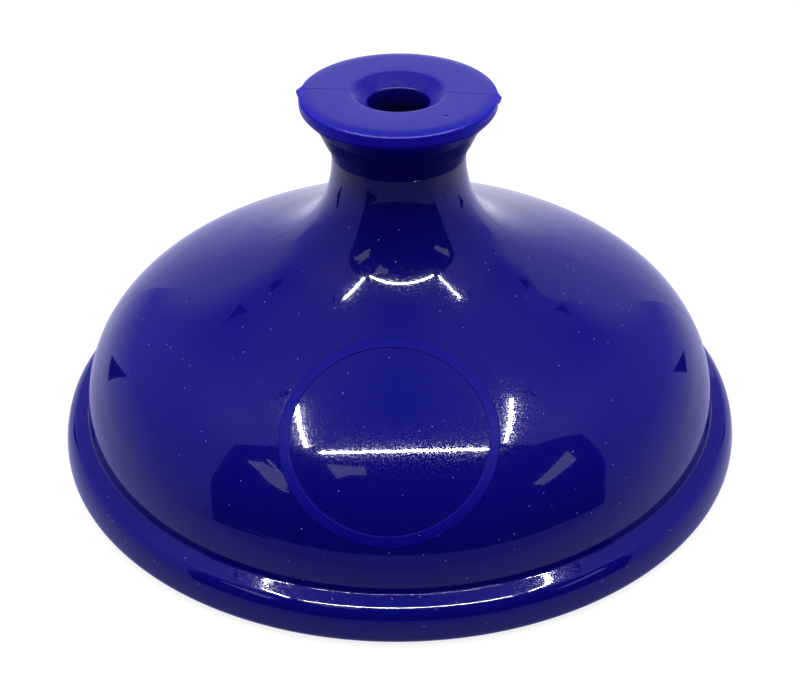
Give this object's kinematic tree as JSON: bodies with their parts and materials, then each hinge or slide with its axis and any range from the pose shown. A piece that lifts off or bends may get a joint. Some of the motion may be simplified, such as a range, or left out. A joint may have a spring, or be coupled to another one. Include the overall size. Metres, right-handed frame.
{
  "type": "trombone plunger mute",
  "caption": "Round hollow rubber cup with a flared neck, a rolled rim ring, a bare badge ring and a push-in finger knob with an air hole.",
  "frame": {"origin": "centre of the mouth, on the cup's axis and on the plane that the rim ring's foot rests on", "axes": "+Z along the cup's axis from the mouth towards the knob, -Y towards the badge ring, the knob's mould line nearly along X"},
  "size_m": [0.15, 0.15, 0.0806],
  "materials": {
    "cup": "gloss",
    "rim": "gloss",
    "knob": "satin"
  },
  "bodies": {
    "cup": {"cup_shell": "cup", "rim_ring": "rim"},
    "knob": {"knob_plug": "knob"}
  },
  "joints": [
    {"name": "knob_pull", "type": "slide", "parent": "cup", "child": "knob", "axis": [0, 0, 1], "range_m": [0, 0.016]}
  ]
}
